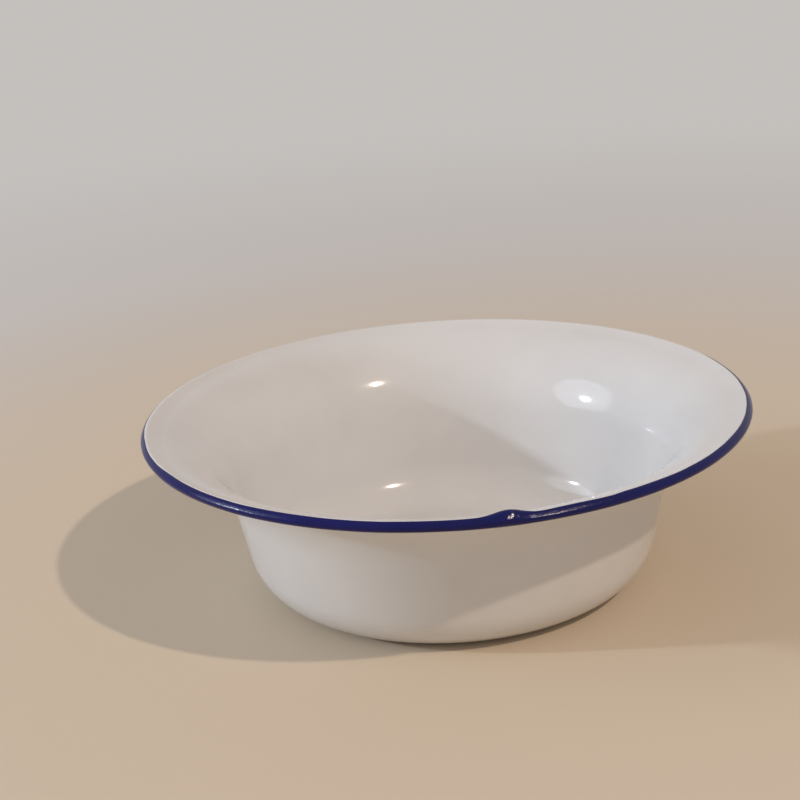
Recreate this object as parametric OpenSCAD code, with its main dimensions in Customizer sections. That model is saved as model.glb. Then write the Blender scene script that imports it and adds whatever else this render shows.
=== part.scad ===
// Enamelled steel basin bowl with a dished brim and a rolled rim.
// One deep-drawn pressing carries a dark ground coat on both faces, a white cover coat inside and outside,
// and a coloured coat over the rolled rim.
// Sizes are in millimetres. The bowl stands on the plane z = 0 and the origin is the centre of its base.

/* [Overall] */
// outer diameter over the rolled rim
rim_d = 200; // [150:1:280]
// height from the standing face to the top of the rim
height = 60; // [48:1:90]

/* [Body] */
// slope of the straight wall, in degrees from level
wall_slope = 78; // [70:0.5:84]
// inside radius of the corner between the floor and the wall
corner_r = 16.5; // [8:0.5:20]
// inside radius of the flare between the wall and the brim
flare_r = 31.4; // [20:0.2:36]

/* [Brim and rim] */
// radial width of the dished brim beside the rolled rim
brim_w = 4.5; // [3:0.1:8]
// slope of the brim where the flare runs into it, in degrees
brim_slope = 15.5; // [8:0.5:19]
// slope of the brim where it meets the rolled rim, in degrees
lip_slope = 25; // [21:0.5:32]
// diameter of the rolled rim over its coats
bead_d = 3.2; // [2.6:0.1:5]
// place on the rolled rim where the rim coat starts, in degrees up from outward
rim_coat_edge = 96; // [60:1:108]
// turn of the rolled rim from the brim round to its free lip, in degrees
curl_turn = 275; // [200:1:277]

/* [Sheet and coats] */
// thickness of the pressed sheet
sheet_t = 0.6; // [0.4:0.05:0.8]
// thickness of the ground coat on each face
ground_t = 0.12; // [0.1:0.01:0.16]
// thickness of the white and rim coats over the ground coat
cover_t = 0.28; // [0.2:0.02:0.36]
// clearance at the seam between the rolled rim and the coats under the brim
seam_gap = 0.04; // [0.02:0.01:0.1]

/* [Hidden] */

// depths of the layer boundaries below the inside surface
ground_in = cover_t;
sheet_in = ground_in + ground_t;
sheet_out = sheet_in + sheet_t;
ground_out = sheet_out + ground_t;
body_t = ground_out + cover_t;

// the roll: its slopes count down from the brim's, past level on top, round to the lip
bead_r = bead_d / 2;
bead_c = [rim_d / 2 - bead_r, height - bead_r];
edge_slope = rim_coat_edge - 90;
tip_slope = lip_slope - curl_turn;

// the brim's hollow arc leaves the roll at lip_slope and eases to brim_slope
brim_r = brim_w / (sin(lip_slope) - sin(brim_slope));
brim_c = bead_c + (bead_r + brim_r) * normal(lip_slope);

// the flare's round arc turns from brim_slope down to the wall
flare_c = brim_c - (brim_r + flare_r) * normal(brim_slope);

// the corner's hollow arc touches the floor and the wall, which sets the radius of the flat floor
corner_z = body_t + corner_r;
wall_run = (corner_r + flare_r + (flare_c[1] - corner_z) * cos(wall_slope)) / sin(wall_slope);
corner_c = [flare_c[0] - wall_run, corner_z];

// arcs are divided so that no chord strays from its curve by more than this
chord_error = 0.02;
corner_n = steps(corner_r, wall_slope);
flare_n = steps(flare_r, wall_slope - brim_slope);
brim_n = steps(brim_r, lip_slope - brim_slope);
crown_n = steps(bead_r, lip_slope - edge_slope);
roll_n = steps(bead_r, edge_slope - tip_slope);
$fn = 180;

// unit normal of a surface that rises outward at slope s
function normal(s) = [-sin(s), cos(s)];

// number of chords for an arc of radius r
function steps(r, sweep) = max(2, ceil(sweep / (2 * acos(1 - chord_error / r))));

// points of an arc from slope s0 to slope s1, without its first point
function arc(c, r, s0, s1, n) = [for (i = [1:n]) c + r * normal(s0 + (s1 - s0) * i / n)];

// the section from the floor's centre to the end of the brim, at depth d below the inside surface
function body_line(d) = concat(
    [[0, body_t - d], [corner_c[0], body_t - d]],
    arc(corner_c, -corner_r - d, 0, wall_slope, corner_n),
    [flare_c + (flare_r - d) * normal(wall_slope)],
    arc(flare_c, flare_r - d, wall_slope, brim_slope, flare_n),
    arc(brim_c, -brim_r - d, brim_slope, lip_slope, brim_n));

// the top of the roll, from the brim to the rim coat's edge
function crown_line(d) = arc(bead_c, bead_r - d, lip_slope, edge_slope, crown_n);

// the rest of the roll, over the outside and under to the lip
function roll_line(d) = arc(bead_c, bead_r - d, edge_slope, tip_slope, roll_n);

function edge_point(d) = bead_c + (bead_r - d) * normal(edge_slope);

function back(line) = [for (i = [len(line) - 1:-1:0]) line[i]];

// turns the strip between an upper and a lower section line
module turned(upper, lower) {
    rotate_extrude()
        polygon(concat(upper, back(lower)));
}

// a coat under the body and brim, stopped at the seam with the roll
module underside(d0, d1) {
    rotate_extrude()
        difference() {
            polygon(concat(body_line(d0), back(body_line(d1))));
            translate(bead_c)
                circle(r = bead_r + seam_gap);
        }
}

// the pressing: floor, wall, flare, brim and the hollow roll
module steel_shell() {
    color("#8d9093")
        turned(concat(body_line(sheet_in), crown_line(sheet_in), roll_line(sheet_in)),
               concat(body_line(sheet_out), crown_line(sheet_out), roll_line(sheet_out)));
}

// dark bonding coat on the inside face and round the roll
module inside_ground_coat() {
    color("#23262b")
        turned(concat(body_line(ground_in), crown_line(ground_in), roll_line(ground_in)),
               concat(body_line(sheet_in), crown_line(sheet_in), roll_line(sheet_in)));
}

// dark bonding coat on the outside face
module outside_ground_coat() {
    color("#23262b")
        underside(sheet_out, ground_out);
}

// white cover coat of the inside, up to the coloured edge on top of the roll
module inside_white_coat() {
    color("#f1f1ee")
        turned(concat(body_line(0), crown_line(0)),
               concat(body_line(ground_in), crown_line(ground_in)));
}

// white cover coat of the outside, which the bowl stands on
module outside_white_coat() {
    color("#f1f1ee")
        underside(ground_out, body_t);
}

// coloured coat over the roll
module rim_blue_coat() {
    color("#1f2a78")
        turned(concat([edge_point(0)], roll_line(0)),
               concat([edge_point(ground_in)], roll_line(ground_in)));
}

steel_shell();
inside_ground_coat();
outside_ground_coat();
inside_white_coat();
outside_white_coat();
rim_blue_coat();
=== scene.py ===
# %% [markdown]
# # A small enamelled basin
# The object is a round steel basin under fired glass: white inside and outside, with a cobalt blue coat over
# the rolled rim. The solids come packed from the CAD model and stay fixed. This lesson gives the hidden
# layers their materials and makes the three coats that show as finer skins in the same place.
# We begin by loading the frame.

# %% Load the frame
import math

import bpy
import numpy as np
from mathutils import Matrix, Vector


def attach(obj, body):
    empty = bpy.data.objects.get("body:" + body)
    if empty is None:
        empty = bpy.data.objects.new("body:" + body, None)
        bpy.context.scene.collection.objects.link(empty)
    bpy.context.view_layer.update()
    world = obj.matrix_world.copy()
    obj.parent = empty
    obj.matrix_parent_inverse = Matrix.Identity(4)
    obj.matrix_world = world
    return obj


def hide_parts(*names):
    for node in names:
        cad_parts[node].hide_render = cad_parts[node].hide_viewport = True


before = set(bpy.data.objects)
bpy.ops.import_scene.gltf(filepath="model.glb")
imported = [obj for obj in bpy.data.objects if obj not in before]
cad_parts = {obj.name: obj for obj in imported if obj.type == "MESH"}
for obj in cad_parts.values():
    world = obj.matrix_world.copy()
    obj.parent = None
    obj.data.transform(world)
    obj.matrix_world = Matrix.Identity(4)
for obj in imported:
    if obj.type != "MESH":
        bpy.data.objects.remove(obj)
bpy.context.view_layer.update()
mm = 0.001


print("nodes:", sorted(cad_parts))

# %% [markdown]
# ## The camera
# A camera could be dragged into place by eye. Here it was solved from the outline of the rim and the wall, so
# it is written as numbers: a long lens about 0.6 m away, looking down at 19 degrees, with a slight roll that
# lifts the right side of the rim.

# %% Camera
scene = bpy.context.scene
scene.view_settings.view_transform = "Standard"

tilt, roll = math.radians(18.82), math.radians(-3.92)
place = Vector((-0.01446, -0.56212, 0.25419))
ahead = Vector((0, math.cos(tilt), -math.sin(tilt)))
level = Vector((1, 0, 0))
rise = level.cross(ahead)
right = math.cos(roll) * level + math.sin(roll) * rise
up = -math.sin(roll) * level + math.cos(roll) * rise

lens = bpy.data.cameras.new("camera")
lens.lens, lens.sensor_width = 81.0, 36.0
lens.clip_start = 0.01
camera = bpy.data.objects.new("camera", lens)
camera.matrix_world = Matrix((right, up, -ahead)).transposed().to_4x4()
camera.location = place
scene.collection.objects.link(camera)
scene.camera = camera
print("camera", [round(v, 4) for v in place], "lens", lens.lens)

# %% [markdown]
# ## The section of the bowl
# A pressed bowl is the same section all the way round, so everything starts from one line: the flat floor, a
# hollow corner, the straight wall, the round flare, the slightly dished brim and the rolled bead. The line
# could be drawn by hand as a curve. Arcs that touch are chosen instead, because the press tool is made of
# them and they give a clean gloss. The sizes are those of the solids, in millimetres, and slopes are in
# degrees from level.

# %% Section sizes
rim_r, height = 100.0, 60.0
wall_slope, corner_r, flare_r = 78.0, 16.5, 31.4
brim_w, brim_slope, lip_slope = 4.5, 15.5, 25.0
bead_r, body_t = 1.6, 1.4


def normal(slope):
    """Unit normal, as radius and height, of a surface that rises outward at a slope."""
    a = np.radians(slope)
    return np.stack([-np.sin(a), np.cos(a)], -1)


bead_c = np.array([rim_r - bead_r, height - bead_r])
brim_r = brim_w / (math.sin(math.radians(lip_slope)) - math.sin(math.radians(brim_slope)))
brim_c = bead_c + (bead_r + brim_r) * normal(lip_slope)
flare_c = brim_c - (brim_r + flare_r) * normal(brim_slope)
corner_z = body_t + corner_r
wall_rad = math.radians(wall_slope)
wall_run = (corner_r + flare_r + (flare_c[1] - corner_z) * math.cos(wall_rad)) / math.sin(wall_rad)
corner_c = np.array([flare_c[0] - wall_run, corner_z])
print("flat floor radius %.2f mm, brim arc radius %.2f mm" % (corner_c[0], brim_r))

# %% [markdown]
# Even steps along the whole line would be simpler. But the floor and the wall need few points, while the
# shoulder of the flare and the brim are often seen almost edge on, so most points go there. Two arrays come
# back: the points, as radius and height, and the slopes. The slope gives the normal, so that a coat can be
# laid at any depth under the surface.

# %% Section line
floor_n, corner_n, wall_n, flare_n, shoulder_n, brim_n = 19, 32, 10, 28, 51, 24
shoulder_slope = 36.0


def steps(start, end, n):
    """n even steps from start to end, without the start itself."""
    return np.linspace(start, end, n + 1)[1:]


def body_section():
    flat = steps(0.0, corner_c[0], floor_n)
    corner = steps(0, wall_slope, corner_n)
    foot = corner_c - corner_r * normal(wall_slope)
    head = flare_c + flare_r * normal(wall_slope)
    flare = np.concatenate([steps(wall_slope, shoulder_slope, flare_n),
                            steps(shoulder_slope, brim_slope, shoulder_n)])
    brim = steps(brim_slope, lip_slope, brim_n)
    points = [np.stack([flat, np.full(floor_n, body_t)], -1),
              corner_c - corner_r * normal(corner),
              foot + (head - foot) * steps(0, 1, wall_n)[:, None],
              flare_c + flare_r * normal(flare),
              brim_c - brim_r * normal(brim)]
    slopes = [np.zeros(floor_n), corner, np.full(wall_n, wall_slope), flare, brim]
    return np.concatenate(points), np.concatenate(slopes)


body_line, body_slope = body_section()
print("section points:", len(body_line))

# %% [markdown]
# ## Fired glass is never quite even
# Enamel is sprayed or dipped and then melts, so it pools and thins by a few hundredths of a millimetre. A
# noise texture could fake that, but the glossy skin shows it best in the mesh itself. A sum of slow waves
# round the bowl and across it gives the same gentle result at every run.

# %% Slow waves
seed_shift, wave_shift = 1.7, 2.399
slant, slant_step, softer = 0.07, 0.021, 0.5


def waves(theta, t, amount, turns, seed):
    """Gentle unevenness, up to about amount: theta runs round the bowl, t across the section in mm."""
    total = 0
    for i, k in enumerate(turns):
        phase = seed * seed_shift + i * wave_shift
        total = total + np.sin(k * theta + t * (slant + slant_step * i) + phase) / (1 + softer * i)
    return amount * total / len(turns)


def ring(n):
    """n even angles round the bowl, in radians."""
    return np.arange(n) * (2 * math.pi / n)


print("waves at three places:", [round(float(waves(a, 10.0, 0.03, (3, 5, 8), 1)), 4) for a in (0, 1, 2)])

# %% [markdown]
# A skin is a stack of rings. Blender's Screw modifier would spin a flat line, but then every ring would be
# the same. Writing the rings as arrays lets each point move on its own, and the faces between them are
# still plain quads. A fan of triangles closes the skin at the middle of the bowl, and a coat that goes
# round the rim closes on itself.

# %% Rings and skins
sharp_from = math.radians(50)


def spin(r, z, theta):
    """A ring of points; radius and height are each a number or one value per angle."""
    r, z = np.broadcast_arrays(r, z, theta)[:2]
    return np.stack([r * np.cos(theta), r * np.sin(theta), z], -1)


def lifted(p, n, h, theta):
    """A ring h mm off the section's point p, along its normal n."""
    return spin(p[..., 0] + n[..., 0] * h, p[..., 1] + n[..., 1] * h, theta)


def skin_of_rings(name, rings, first=None, last=None):
    """Closed mesh object from rings in mm, with a pole point at each end or else joined into a loop."""
    count = len(rings[0])
    end = (len(rings) - 1) * count
    points = np.concatenate(rings)
    i, j = np.arange(0, end, count)[:, None], np.arange(count)
    k = (j + 1) % count
    faces = np.stack([i + j, i + count + j, i + count + k, i + k], -1).reshape(-1, 4).tolist()
    if first is None and last is None:
        faces += np.stack([end + j, j, k, end + k], -1).tolist()
    for pole, start, a, b in ((first, 0, j, k), (last, end, k, j)):
        if pole is not None:
            points = np.vstack([points, pole])
            tip = np.full(count, len(points) - 1)
            faces += np.stack([tip, start + a, start + b], -1).tolist()
    mesh = bpy.data.meshes.new(name)
    mesh.from_pydata((points * mm).tolist(), [], faces)
    mesh.polygons.foreach_set("use_smooth", np.ones(len(faces), bool))
    mesh.set_sharp_from_angle(angle=sharp_from)
    mesh.update()
    obj = bpy.data.objects.new(name, mesh)
    scene.collection.objects.link(obj)
    print(name, "points", len(points), "faces", len(faces))
    return obj


print("a ring of four:", spin(1.0, 0.0, ring(4)).round(2).tolist())

# %% [markdown]
# ## Where the blue starts
# The rim is dipped by hand, so the edge of the blue wanders along the top of the bead. A mask in a material
# could paint it on one mesh, but the real edge is a step of glass that catches the light, so it belongs in
# the shape. The bead's own angle tells where it is: 0 degrees looks straight out, 90 is the very top and 115
# is where the bead meets the brim. A few chosen angles round the rim, with a softened line through them, give
# that wandering edge.

# %% Blue edge
edge_marks = [
    (-180, 63), (-176, 74), (-171, 83), (-164, 80), (-157, 81), (-150, 98), (-142, 90), (-130, 89),
    (-118, 97), (-106, 83), (-97, 91), (-90, 87), (-86, 95), (-79, 97), (-77.3, 83), (-75.5, 85),
    (-73.5, 95), (-70, 106), (-66.5, 92), (-62.6, 84), (-61.6, 99), (-54, 97), (-48, 86), (-40, 90),
    (-30, 102), (-14, 101), (0, 95), (5, 88), (9, 88), (14, 87), (18, 82), (22, 66),
    (30, 57), (50, 65), (72, 71), (90, 72), (112, 73), (136, 66), (152, 58), (166, 54), (180, 63),
]
edge_wave, edge_turns = 2.2, (23, 41, 67)


def soft_line(marks, at, reach, n, period=None):
    """Straight lines between marks, averaged over n places within reach so that the corners turn round."""
    place, value = np.array(marks, float).T
    window = np.linspace(-reach, reach, n)
    return np.interp(np.asarray(at)[..., None] + window, place, value, period=period).mean(-1)


def turn_of(theta):
    """Angle round the rim in degrees, from -180 to 180; the front is at -90."""
    return (np.degrees(theta) + 180) % 360 - 180


def blue_edge(theta):
    """Bead angle of the blue edge, in degrees."""
    drawn = soft_line(edge_marks, turn_of(theta), reach=0.9, n=9, period=360)
    return drawn + waves(theta, 0.0, edge_wave, edge_turns, 4)


rim_sample = ring(720)
print("edge between %.0f and %.0f degrees" % (blue_edge(rim_sample).min(), blue_edge(rim_sample).max()))

# %% [markdown]
# Just right of the middle of the front the glass ran together into a lump before it set. It could be
# sculpted, but a short row of marks, each an angle round the rim and a share of the full height, keeps it at
# one exact place and can be changed at will.

# %% Lump
lump_marks = [
    (-87.8, 0), (-86.6, 0.03), (-85.6, 0.14), (-84.6, 0.42), (-83.9, 0.64), (-83.2, 0.84), (-82.5, 0.98),
    (-81.8, 0.97), (-81.2, 0.88), (-80.6, 0.74), (-79.7, 0.38), (-78.7, 0.1), (-77.6, 0),
]


def lump(theta):
    """How much of the lump stands at each angle round the rim, 0 to 1."""
    return soft_line(lump_marks, turn_of(theta), reach=0.35, n=7)


print("the lump covers %.1f degrees of the rim" % (360 * (lump(rim_sample) > 0.01).mean()))

# %% [markdown]
# The bead and the brim are one surface with one measure along it: t is 0 where they meet, grows inward along
# the brim and runs negative over the top of the bead, round the outside and under to the lip. A plain torus
# would give a true circle, but glass runs down while it is soft. So the face that looks up and out is a
# little flat and the outside below it is fuller, which is why a lamp's streak lies half way down the blue.

# %% Rim surface
face_marks = [
    (-155, 0), (-125, 0.12), (-95, 0.22), (-72, 0.24), (-58, 0.21), (-40, 0.14), (-22, 0.08), (-8, 0.06),
    (1, 0.03), (9, -0.045), (18, -0.12), (28, -0.175), (38, -0.2), (50, -0.195), (62, -0.165), (76, -0.115),
    (92, -0.05), (108, -0.01), (118, 0),
]
foot_angle = 90 + lip_slope
lump_foot = 1.7


def bead_angle(t):
    return foot_angle + np.degrees(t / bead_r)


def bead_face(angle):
    """How far the glazed bead stands off its plain circle, in mm, at a bead angle in degrees."""
    return soft_line(face_marks, angle, reach=6, n=13)


def rim_surface(t, glazed=True):
    """Point and normal of the surface at t mm from the foot of the bead, finished or as the plain circle."""
    t = np.asarray(t, float)
    on_bead = t <= 0
    slope = np.where(on_bead, lip_slope + np.degrees(t / bead_r), lip_slope - np.degrees(t / brim_r))
    n = normal(slope)
    reach = bead_r + (bead_face(bead_angle(t)) if glazed else np.zeros_like(t))
    return np.where(on_bead[..., None], bead_c + reach[..., None] * n, brim_c - brim_r * n), n


def edge_t(theta):
    """The blue edge as t, with the lump's foot reaching in over the brim."""
    plain = -bead_r * np.radians(foot_angle - blue_edge(theta))
    return plain + (lump_foot - plain) * np.sin(0.5 * np.pi * lump(theta))


print("edge t between %.2f and %.2f mm" % (edge_t(rim_sample).min(), edge_t(rim_sample).max()))

# %% [markdown]
# ## The white inside
# The cover coat of the inside is the skin that shows most: floor, corner, wall, flare and brim. A Solidify
# modifier could give it thickness, but only an even one. Here the top and the underside are rings of their
# own, so the coat can run on under the blue at the rim and thin away there, as the real one does. It is made
# a touch thinner than its solid, so that its underside stays clear of the dark coat below.

# %% Inside white coat
white_turns = ring(400)
white_edge = edge_t(white_turns)
coat_t = 0.26
pool_depth = 0.03
still_r = 20
crown_end, crown_n = -1.95, 20
tuck_depth, tuck_from, tuck_width, tuck_low = 0.09, 0.05, 0.12, -0.24


def coat_rings(line, slopes, rise):
    """One ring for each point of a section line, rise(radius, height, slope) mm off it."""
    return [lifted(p, normal(s), rise(*p, s), white_turns) for p, s in zip(line, slopes)]


def inside_rise(r, z, slope):
    return waves(white_turns, r + z, pool_depth, (3, 5, 8, 13), 1) * min(1.0, r / still_r)


def inside_back(r, z, slope):
    return -coat_t


def crown_rings(back):
    """The white on top of the bead, which dips to pass under the blue."""
    rings = []
    for t in steps(0, crown_end, crown_n):
        p, n = rim_surface(t, glazed=False)
        under = np.clip((white_edge + tuck_from - t) / tuck_width + 0.5, 0, 1)
        h = -coat_t if back else np.maximum(bead_face(bead_angle(t)) - tuck_depth * under, tuck_low)
        rings.append(lifted(p, n, h, white_turns))
    return rings


top = coat_rings(body_line, body_slope, inside_rise) + crown_rings(back=False)
bottom = coat_rings(body_line[::3], body_slope[::3], inside_back) + crown_rings(back=True)[::3]
inside_white = skin_of_rings("inside_white", top + bottom[::-1],
                             first=(0, 0, body_t), last=(0, 0, body_t - coat_t))
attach(inside_white, "root")
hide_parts("inside_white_coat")

# %% [markdown]
# ## The white outside
# The outer coat is the base that the bowl stands on, the wall, and the underside of the flare and brim up to
# the seam where the bead tucks in. It could be drawn as a second section. It is the same sheet seen from its
# other side, so the same line is used again, laid at the full depth of the body and stopped at the seam.

# %% Outside white coat
half_coat, seam_gap = 0.14, 0.06
still_slope, full_slope = 8, 38

coat_line = body_line - (body_t - half_coat) * normal(body_slope)
from_bead = np.hypot(*(coat_line - bead_c).T)
clear = from_bead > bead_r + seam_gap
outer_line, outer_slope = body_line[clear], body_slope[clear]


def outside_rise(r, z, slope):
    share = min(1.0, max(0.0, (slope - still_slope) / (full_slope - still_slope)))
    return waves(white_turns, r - z, pool_depth, (2, 5, 9, 14), 7) * share - body_t


def outside_back(r, z, slope):
    return coat_t - body_t


face = coat_rings(outer_line, outer_slope, outside_rise)
back = coat_rings(outer_line[::3], outer_slope[::3], outside_back)
outside_white = skin_of_rings("outside_white", back + face[::-1], first=(0, 0, coat_t), last=(0, 0, 0))
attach(outside_white, "root")
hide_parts("outside_white_coat")

# %% [markdown]
# ## The blue rim
# The blue lies over the bead as a thicker, softer coat with a rounded edge. It could be a bevelled curve, but
# that has one section all the way round. Rings that follow the wandering edge cost more points, so they are
# set close only at the front, where the lump is barely a centimetre long. Beside the lump the glass hung a
# little lower before it set, and down the lump it drew up into a short crease.

# %% Hang and crease of the blue
plain_step, lump_step = 1 / 3, 1 / 8
lump_from, lump_to = -94, -72
blue_turns = np.radians(np.concatenate([np.arange(-180, lump_from, plain_step),
                                        np.arange(lump_from, lump_to, lump_step),
                                        np.arange(lump_to, 180, plain_step)]))
hang_marks = [(-70, 0), (-35, 0.06), (-10, 0.11), (5, 0.08), (18, 0.01), (32, -0.03),
              (46, -0.045), (60, -0.02), (75, 0)]
hang_at, hang_spread = -76, 4.5
crease_h, crease_at, crease_lean, lean_from = 0.36, -82.5, 0.022, 10
crease_wide, crease_taper, narrowest, widest = 0.7, 0.008, 0.25, 0.75
crease_middle, crease_long = 30, 34


def hill(x, width):
    """A smooth hill, 1 at x = 0."""
    return np.exp(-0.5 * (x / width) ** 2)


def hang(angle):
    """Glass that hung lower on the outside of the front of the rim, in mm, at a bead angle in degrees."""
    here = hill(np.degrees(blue_turns) - hang_at, hang_spread)
    return here * soft_line(hang_marks, angle, reach=6, n=13)


def lump_crease(angle):
    """A short crease down the lump that leans to the right and narrows upward, in mm."""
    middle = crease_at + crease_lean * (angle - lean_from)
    width = np.clip(crease_wide - crease_taper * angle, narrowest, widest)
    across = hill(np.degrees(blue_turns) - middle, width)
    return crease_h * across * hill(angle - crease_middle, crease_long)


print("blue points round the rim:", len(blue_turns))

# %% [markdown]
# Each ring of the blue is one share of the way from its upper edge to the lip, with close steps where the
# edge rounds over. The lump is a place where the bead is fatter: its circle grows while its lowest point
# stays, and inward it runs out on the brim.

# %% Blue rings
blue_edge_t = edge_t(blue_turns)
lip_turn = 272
lip_t = -bead_r * math.radians(lip_turn)
edge_sink, blue_t, edge_round = -0.07, 0.10, 0.45
blue_pool = 0.035
lump_r = 0.66
blue_tuck = 0.3


def blue_ring(u):
    t = blue_edge_t + (lip_t - blue_edge_t) * u
    p, n = rim_surface(t)
    angle = bead_angle(t)
    far = np.clip((blue_edge_t - t) / edge_round, 0, 1)
    h = edge_sink + blue_t * np.sqrt(1 - (1 - far) ** 2)
    h += waves(blue_turns, 4 * t, blue_pool, (17, 29, 43), 9) * far + hang(angle) + lump_crease(angle)
    foot = np.clip(1 - t / lump_foot, 0, 1)
    swell = lump_r * lump(blue_turns) * np.where(t > 0, foot * foot * (3 - 2 * foot), 1)
    out = np.radians(np.clip(angle, -90, foot_angle))
    return spin(p[:, 0] + n[:, 0] * h + swell * np.cos(out),
                p[:, 1] + n[:, 1] * h + swell * (1 + np.sin(out)), blue_turns)


def blue_under(u):
    t = blue_edge_t - blue_tuck + (lip_t - blue_edge_t + blue_tuck) * u
    p, n = rim_surface(t, glazed=False)
    return lifted(p, n, -coat_t, blue_turns)


edge_share, edge_n, face_n = 0.12, 11, 58
shares = np.concatenate([np.linspace(0, edge_share, edge_n + 1)[:-1], np.linspace(edge_share, 1, face_n)])
blue_face = [blue_ring(u) for u in shares]
print("top of the blue at %.2f mm" % max(points[:, 2].max() for points in blue_face))

# %% [markdown]
# The lump's shoulder set with a small flat on it, which is what glints. A boolean cut would leave a hard
# edge and a messy mesh. Drawing back all that stands past one plane keeps the same points and faces.

# %% Flat on the lump and the blue coat
flat_depth, under_n = 0.24, 14
flat_turn, flat_rise = math.radians(-74), math.radians(35)
flat_towards = np.array([math.cos(flat_rise) * math.cos(flat_turn),
                         math.cos(flat_rise) * math.sin(flat_turn), math.sin(flat_rise)])

flat_at = max((points @ flat_towards).max() for points in blue_face) - flat_depth
for points in blue_face:
    points -= np.clip(points @ flat_towards - flat_at, 0, None)[:, None] * flat_towards
blue_back = [blue_under(u) for u in np.linspace(1, 0, under_n)]
rim_blue = skin_of_rings("rim_blue", blue_face + blue_back)
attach(rim_blue, "root")
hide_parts("rim_blue_coat")

# %% [markdown]
# ## Materials
# A material is a small tree of shader nodes. It could be wired by hand in the editor. Four short helpers do
# the same in code, so that every finish of the bowl is made in one way: they make a node, join sockets,
# make a ramp between two colours and start a new material.

# %% Shader helpers
def node(tree, kind, **settings):
    """A shader node; names with a capital set its inputs, the others its options."""
    made = tree.nodes.new(kind)
    for key, value in settings.items():
        if key[0].isupper():
            made.inputs[key.replace("_", " ")].default_value = value
        else:
            setattr(made, key, value)
    return made


def wire(tree, *joins):
    """Joins sockets, each join given as a node, its output, the next node and its input."""
    for source, out, target, into in joins:
        tree.links.new(source.outputs[out], target.inputs[into])


def ramp(tree, first, last, start=0.0, end=1.0):
    """A colour ramp from one colour to another."""
    made = node(tree, "ShaderNodeValToRGB")
    low, high = made.color_ramp.elements
    low.position, low.color = start, (*first, 1)
    high.position, high.color = end, (*last, 1)
    return made


def new_material(name):
    material = bpy.data.materials.new(name)
    material.use_nodes = True
    print("material", name)
    return material, material.node_tree, material.node_tree.nodes["Principled BSDF"]


print("shader helpers:", [helper.__name__ for helper in (node, wire, ramp, new_material)])

# %% [markdown]
# Vitreous enamel is coloured glass, so one recipe serves for both colours: a plain diffuse body under a clear
# glossy surface. A flat colour would look like plastic. What makes it real is small: the colour is a touch
# uneven where the coat is thinner, the gloss is a little duller in places from washing, and the surface has
# the faint skin of an orange, stronger on the thick blue. All three come from noise in the object's own
# space, so they need no picture and stay put from every side.

# %% Enamel recipe
glass_ior = 1.52


def enamel(name, thin, thick, dull, peel, peel_scale, patch, shine=0.5):
    """Enamel from two colours, where the coat is thin and thick, and a range of roughness.

    peel is the height of the bump in mm and peel_scale how fine it is; patch is how fine the uneven colour
    is, and shine the strength of the gloss.
    """
    material, tree, glass = new_material(name)
    glass.inputs["IOR"].default_value = glass_ior
    glass.inputs["Specular IOR Level"].default_value = shine
    where = node(tree, "ShaderNodeTexCoord")
    cloud = node(tree, "ShaderNodeTexNoise", Scale=patch, Detail=3.0, Roughness=0.55)
    tint = ramp(tree, thin, thick, 0.32, 0.68)
    haze = node(tree, "ShaderNodeTexNoise", Scale=patch * 2.3, Detail=4.0)
    gloss = node(tree, "ShaderNodeMapRange", From_Min=0.35, From_Max=0.7, To_Min=dull[0], To_Max=dull[1])
    grain = node(tree, "ShaderNodeTexNoise", Scale=peel_scale, Detail=2.0)
    skin = node(tree, "ShaderNodeBump", Strength=1.0, Distance=peel * mm)
    for noise in (cloud, haze, grain):
        wire(tree, (where, "Object", noise, "Vector"))
    wire(tree, (cloud, "Fac", tint, "Fac"), (tint, "Color", glass, "Base Color"),
         (haze, "Fac", gloss, "Value"), (gloss, "Result", glass, "Roughness"),
         (grain, "Fac", skin, "Height"), (skin, "Normal", glass, "Normal"))
    return material


white = enamel("white_enamel", (0.69, 0.685, 0.675), (0.74, 0.735, 0.725), dull=(0.07, 0.15),
               peel=0.002, peel_scale=260.0, patch=24.0)
blue = enamel("blue_enamel", (0.006, 0.007, 0.09), (0.009, 0.01, 0.115), dull=(0.15, 0.22),
              peel=0.08, peel_scale=1160.0, patch=45.0, shine=0.2)
for piece, finish in ((inside_white, white), (outside_white, white), (rim_blue, blue)):
    piece.data.materials.append(finish)

# %% [markdown]
# The layers that do not show still get an honest finish, in case someone cuts the bowl open. One grey would
# do for the steel, but drawing leaves faint rings in it, and a wave texture gives those for its colour and
# its sheen. The dark, slightly pitted ground coat is the enamel recipe again.

# %% Hidden layers
steel, tree, metal = new_material("pressed_steel")
metal.inputs["Metallic"].default_value = 1.0
where = node(tree, "ShaderNodeTexCoord")
draw_rings = node(tree, "ShaderNodeTexWave", Scale=160.0, Distortion=2.0,
                  wave_type="RINGS", rings_direction="Z")
sheen = node(tree, "ShaderNodeMapRange", To_Min=0.3, To_Max=0.45)
shade = ramp(tree, (0.42, 0.43, 0.44), (0.56, 0.57, 0.58))
wire(tree, (where, "Object", draw_rings, "Vector"),
     (draw_rings, "Fac", sheen, "Value"), (sheen, "Result", metal, "Roughness"),
     (draw_rings, "Fac", shade, "Fac"), (shade, "Color", metal, "Base Color"))

ground = enamel("ground_enamel", (0.012, 0.013, 0.016), (0.022, 0.024, 0.03), dull=(0.3, 0.5),
                peel=0.02, peel_scale=420.0, patch=60.0)
hidden = {"steel_shell": steel, "inside_ground_coat": ground, "outside_ground_coat": ground}
for name, finish in hidden.items():
    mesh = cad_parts[name].data
    mesh.materials.clear()
    mesh.materials.append(finish)
print("hidden layers:", sorted(hidden))

# %% [markdown]
# ## Floor
# The bowl stands on one plain pale floor. A plane would do, but its corners could show from the side, so it
# is a wide round sheet, made of rings that grow as they go out.

# %% Floor sheet
floor_r = [0.3, 0.6, 1.2, 2.5, 5.0, 9.0]
floor_turns = 64

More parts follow.
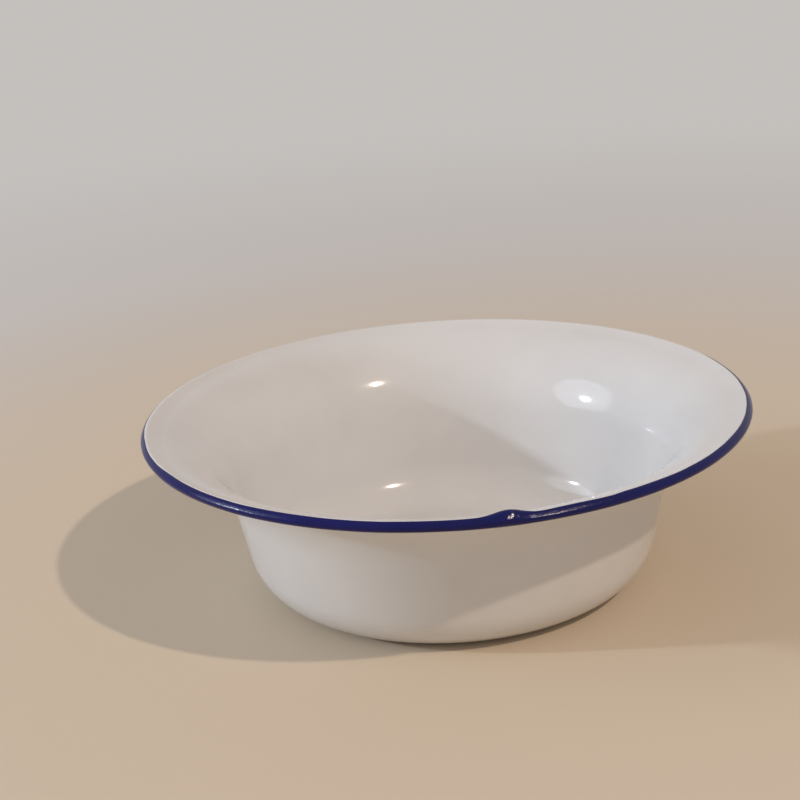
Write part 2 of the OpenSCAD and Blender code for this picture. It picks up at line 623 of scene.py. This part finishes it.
spots = [(r * math.cos(a), r * math.sin(a), 0.0) for r in floor_r for a in ring(floor_turns)]
spots.append((0.0, 0.0, 0.0))
middle = len(spots) - 1
following = [(i + 1) % floor_turns for i in range(floor_turns)]
tiles = [(middle, i, j) for i, j in enumerate(following)]
for inner in range(0, middle - floor_turns, floor_turns):
    outer = inner + floor_turns
    tiles += [(inner + i, outer + i, outer + j, inner + j) for i, j in enumerate(following)]
floor_mesh = bpy.data.meshes.new("floor")
floor_mesh.from_pydata(spots, [], tiles)
floor = bpy.data.objects.new("floor", floor_mesh)
scene.collection.objects.link(floor)
print("floor faces", len(tiles))

# %% [markdown]
# Near the bowl the floor is ordinary matt paper in warm cream, which takes the shadow and warms the wall
# above it. Further off it pales to grey. More lamps could brighten that, but they would also bleach the bowl.
# Instead the far floor shows its grey as it is to rays that look straight at it: those from the camera, and
# those that bounce off gloss or pass through clear glass, so that a reflection meets the same background.

# %% Paper on the floor
cream, grey = (0.68, 0.58, 0.45), (0.66, 0.64, 0.62)
backdrop_grey = (0.55, 0.525, 0.505, 1)


def straight_view(tree):
    """A node that gives 1 for rays from the camera, off gloss or through clear glass, and 0 for the rest."""
    path = node(tree, "ShaderNodeLightPath")
    gloss_too, glass_too = (node(tree, "ShaderNodeMath", operation="MAXIMUM") for _ in range(2))
    wire(tree, (path, "Is Camera Ray", gloss_too, 0), (path, "Is Glossy Ray", gloss_too, 1),
         (gloss_too, "Value", glass_too, 0), (path, "Is Transmission Ray", glass_too, 1))
    return glass_too


paper, tree, matt = new_material("pale_paper")
matt.inputs["Roughness"].default_value = 0.9
matt.inputs["Specular IOR Level"].default_value = 0.2
where = node(tree, "ShaderNodeTexCoord")
away = node(tree, "ShaderNodeVectorMath", operation="LENGTH")
fade = node(tree, "ShaderNodeMapRange", interpolation_type="SMOOTHSTEP", From_Min=0.14, From_Max=0.5)
tint = ramp(tree, cream, grey)
distant = node(tree, "ShaderNodeMapRange", interpolation_type="SMOOTHSTEP", From_Min=0.26, From_Max=0.85)
share = node(tree, "ShaderNodeMath", operation="MULTIPLY")
glow = node(tree, "ShaderNodeEmission", Color=backdrop_grey)
both = node(tree, "ShaderNodeMixShader")
wire(tree, (where, "Object", away, 0),
     (away, "Value", fade, "Value"), (fade, "Result", tint, "Fac"), (tint, "Color", matt, "Base Color"),
     (away, "Value", distant, "Value"), (distant, "Result", share, 1),
     (straight_view(tree), "Value", share, 0), (share, "Value", both, "Fac"),
     (matt, "BSDF", both, 1), (glow, "Emission", both, 2),
     (both, "Shader", tree.nodes["Material Output"], "Surface"))
floor_mesh.materials.append(paper)

# %% [markdown]
# ## Light
# A picture of a room could light the bowl, but plain lamps are easier to reason about. A small one from the
# front right throws the crisp shadow of the brim across the wall. Another, low on the left, lights the other
# side and puts a glint on the rim, and a wide one behind it softens that side as a window would.

# %% Lamps
lamp_far = 2.4
aim = Vector((0, 0, 0.03))
warm, cool = (1.0, 0.82, 0.67), (0.77, 0.865, 1.0)


def lamp(name, azimuth, elevation, size, power, colour):
    """A round lamp that looks at the bowl: angles in degrees, size in metres, power in watts."""
    light = bpy.data.lights.new(name, "AREA")
    light.shape, light.size, light.energy, light.color = "DISK", size, power, colour
    obj = bpy.data.objects.new(name, light)
    a, e = math.radians(azimuth), math.radians(elevation)
    obj.location = Vector((math.cos(e) * math.cos(a), math.cos(e) * math.sin(a), math.sin(e))) * lamp_far
    obj.rotation_euler = (aim - obj.location).to_track_quat("-Z", "Y").to_euler()
    scene.collection.objects.link(obj)
    print("lamp", name, [round(v, 2) for v in obj.location])


lamp("key", -48.4, 46.7, 0.07, 19.2, warm)
lamp("left", 184.0, 20.5, 0.1, 19.5, cool)
lamp("left_wide", 184.0, 24.0, 1.5, 12.0, cool)

# %% [markdown]
# The world fills the shadows evenly, as a bright room would. A wide lamp overhead could do that too, but it
# would show in the gloss. With the lamps it stays at a level where a colour comes out about as it is
# written. Straight on, and in reflections, it shows the same grey as the far floor.

# %% World
world = bpy.data.worlds.new("world")
world.use_nodes = True
tree = world.node_tree
fill = tree.nodes["Background"]
fill.inputs["Color"].default_value = (1.0, 0.915, 0.885, 1)
fill.inputs["Strength"].default_value = 0.42
pale = node(tree, "ShaderNodeBackground", Color=backdrop_grey)
both = node(tree, "ShaderNodeMixShader")
wire(tree, (straight_view(tree), "Value", both, "Fac"),
     (fill, "Background", both, 1), (pale, "Background", both, 2),
     (both, "Shader", tree.nodes["World Output"], "Surface"))
scene.world = world
print("world fill", round(fill.inputs["Strength"].default_value, 2))
